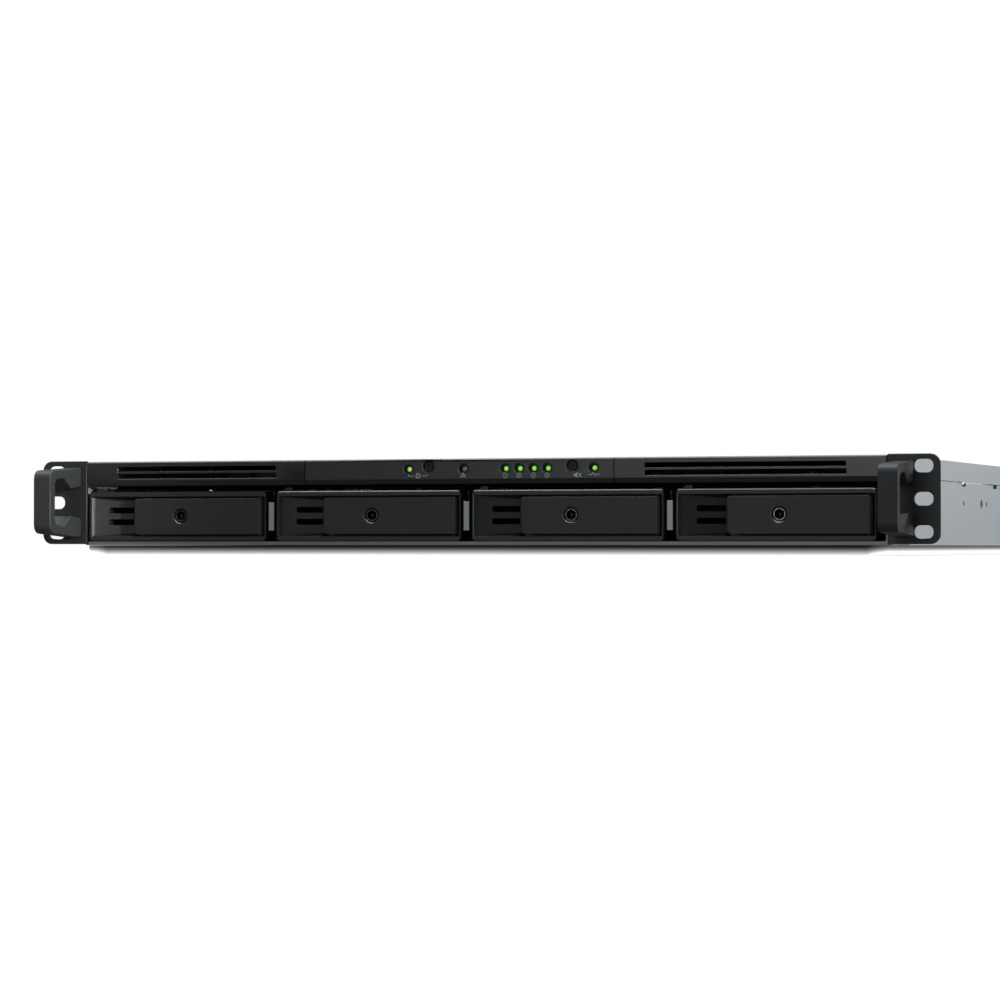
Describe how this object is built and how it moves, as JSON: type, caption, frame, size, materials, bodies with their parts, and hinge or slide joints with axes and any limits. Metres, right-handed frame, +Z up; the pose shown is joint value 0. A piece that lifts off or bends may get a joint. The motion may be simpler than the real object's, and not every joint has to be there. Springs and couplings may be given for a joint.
{
  "type": "nas enclosure",
  "caption": "Rack-mount network storage enclosure, one unit high, with pull-out drive trays, pull handles, slotted rack ears, vented front strip and rear sockets.",
  "frame": {"origin": "bottom centre of the whole object, handles and rear screw heads included", "axes": "+X to the right seen from the front, +Y from the front to the rear, +Z up"},
  "size_m": [0.478, 0.3274, 0.0439],
  "materials": {
    "chassis_steel": "fine satin silver-grey paint",
    "divider_steel": "galvanised",
    "screw_zinc": "zinc plated",
    "ear_black": "fine-textured black paint",
    "handle_black": "fine-textured black paint",
    "bezel_black": "fine moulded grain",
    "lamp_green": "clear light guide, lit green",
    "lamp_grey": "clear lens, unlit",
    "button_black": "satin",
    "board_green": "solder mask",
    "tray_black": "fine moulded grain",
    "lever_black": "fine moulded grain",
    "lock_metal": "dark plated",
    "drive_metal": "cast and stamped",
    "fan_black": "moulded",
    "heatsink_aluminium": "extruded",
    "socket_metal": "plated shell",
    "inlet_black": "moulded"
  },
  "bodies": {
    "chassis": {"base_pan": "chassis_steel", "top_cover": "chassis_steel", "rear_panel": "chassis_steel", "bay_divider_1": "divider_steel", "bay_divider_2": "divider_steel", "bay_divider_3": "divider_steel", "bay_divider_4": "divider_steel", "cover_screw_1": "screw_zinc", "cover_screw_2": "screw_zinc", "cover_screw_3": "screw_zinc", "left_ear": "ear_black", "right_ear": "ear_black", "left_handle": "handle_black", "right_handle": "handle_black", "left_bezel": "bezel_black", "right_bezel": "bezel_black", "control_panel": "bezel_black", "light_guide": "lamp_green", "alert_lens": "lamp_grey", "panel_board": "board_green", "backplane_board": "board_green", "fan_frame_1": "fan_black", "fan_frame_2": "fan_black", "fan_frame_3": "fan_black", "main_board": "board_green", "heatsink": "heatsink_aluminium", "memory_module": "board_green", "network_jacks": "socket_metal", "usb_ports": "socket_metal", "expansion_port": "socket_metal", "upgrade_slot_cover": "chassis_steel", "psu_case": "divider_steel", "psu_fan_frame": "fan_black", "power_inlet": "inlet_black"},
    "tray_body_1": {"tray_1": "tray_black", "drive_1": "drive_metal"},
    "lever_1": {"tray_lever_1": "lever_black"},
    "lock_1": {"tray_lock_1": "lock_metal"},
    "tray_body_2": {"tray_2": "tray_black", "drive_2": "drive_metal"},
    "lever_2": {"tray_lever_2": "lever_black"},
    "lock_2": {"tray_lock_2": "lock_metal"},
    "tray_body_3": {"tray_3": "tray_black", "drive_3": "drive_metal"},
    "lever_3": {"tray_lever_3": "lever_black"},
    "lock_3": {"tray_lock_3": "lock_metal"},
    "tray_body_4": {"tray_4": "tray_black", "drive_4": "drive_metal"},
    "lever_4": {"tray_lever_4": "lever_black"},
    "lock_4": {"tray_lock_4": "lock_metal"},
    "power_button": {"power_button": "button_black"},
    "mute_button": {"mute_button": "button_black"},
    "reset_button": {"reset_button": "button_black"},
    "rotor_1": {"fan_rotor_1": "fan_black"},
    "rotor_2": {"fan_rotor_2": "fan_black"},
    "rotor_3": {"fan_rotor_3": "fan_black"},
    "psu_rotor": {"psu_fan_rotor": "fan_black"}
  },
  "joints": [
    {"name": "tray_1_slide", "type": "slide", "parent": "chassis", "child": "tray_body_1", "axis": [0, -1, 0], "range_m": [0, 0.17]},
    {"name": "lever_1_swing", "type": "hinge", "parent": "tray_body_1", "child": "lever_1", "pos_m": [-0.11555, -0.12625, 0.0151], "axis": [0, 0, 1], "range_deg": [0, 65]},
    {"name": "lock_1_turn", "type": "hinge", "parent": "lever_1", "child": "lock_1", "pos_m": [-0.15975, -0.12795, 0.0151], "axis": [0, 1, 0], "range_deg": [0, 90]},
    {"name": "tray_2_slide", "type": "slide", "parent": "chassis", "child": "tray_body_2", "axis": [0, -1, 0], "range_m": [0, 0.17]},
    {"name": "lever_2_swing", "type": "hinge", "parent": "tray_body_2", "child": "lever_2", "pos_m": [-0.00905, -0.12625, 0.0151], "axis": [0, 0, 1], "range_deg": [0, 65]},
    {"name": "lock_2_turn", "type": "hinge", "parent": "lever_2", "child": "lock_2", "pos_m": [-0.05325, -0.12795, 0.0151], "axis": [0, 1, 0], "range_deg": [0, 90]},
    {"name": "tray_3_slide", "type": "slide", "parent": "chassis", "child": "tray_body_3", "axis": [0, -1, 0], "range_m": [0, 0.17]},
    {"name": "lever_3_swing", "type": "hinge", "parent": "tray_body_3", "child": "lever_3", "pos_m": [0.09745, -0.12625, 0.0151], "axis": [0, 0, 1], "range_deg": [0, 65]},
    {"name": "lock_3_turn", "type": "hinge", "parent": "lever_3", "child": "lock_3", "pos_m": [0.05325, -0.12795, 0.0151], "axis": [0, 1, 0], "range_deg": [0, 90]},
    {"name": "tray_4_slide", "type": "slide", "parent": "chassis", "child": "tray_body_4", "axis": [0, -1, 0], "range_m": [0, 0.17]},
    {"name": "lever_4_swing", "type": "hinge", "parent": "tray_body_4", "child": "lever_4", "pos_m": [0.20395, -0.12625, 0.0151], "axis": [0, 0, 1], "range_deg": [0, 65]},
    {"name": "lock_4_turn", "type": "hinge", "parent": "lever_4", "child": "lock_4", "pos_m": [0.15975, -0.12795, 0.0151], "axis": [0, 1, 0], "range_deg": [0, 90]},
    {"name": "power_button_press", "type": "slide", "parent": "chassis", "child": "power_button", "axis": [0, 1, 0], "range_m": [0, 0.0008], "stiffness_N_per_m": 500, "springref_m": -0.0006},
    {"name": "mute_button_press", "type": "slide", "parent": "chassis", "child": "mute_button", "axis": [0, 1, 0], "range_m": [0, 0.0008], "stiffness_N_per_m": 500, "springref_m": -0.0006},
    {"name": "reset_button_press", "type": "slide", "parent": "chassis", "child": "reset_button", "axis": [0, -1, 0], "range_m": [0, 0.0005], "stiffness_N_per_m": 500, "springref_m": -0.0006},
    {"name": "fan_1_spin", "type": "hinge", "parent": "chassis", "child": "rotor_1", "pos_m": [-0.07, 0.05925, 0.0217], "axis": [0, 1, 0], "continuous": true},
    {"name": "fan_2_spin", "type": "hinge", "parent": "chassis", "child": "rotor_2", "pos_m": [0.02, 0.05925, 0.0217], "axis": [0, 1, 0], "continuous": true},
    {"name": "fan_3_spin", "type": "hinge", "parent": "chassis", "child": "rotor_3", "pos_m": [0.11, 0.05925, 0.0217], "axis": [0, 1, 0], "continuous": true},
    {"name": "psu_fan_spin", "type": "hinge", "parent": "chassis", "child": "psu_rotor", "pos_m": [-0.1503, 0.14875, 0.0214], "axis": [0, 1, 0], "continuous": true}
  ]
}
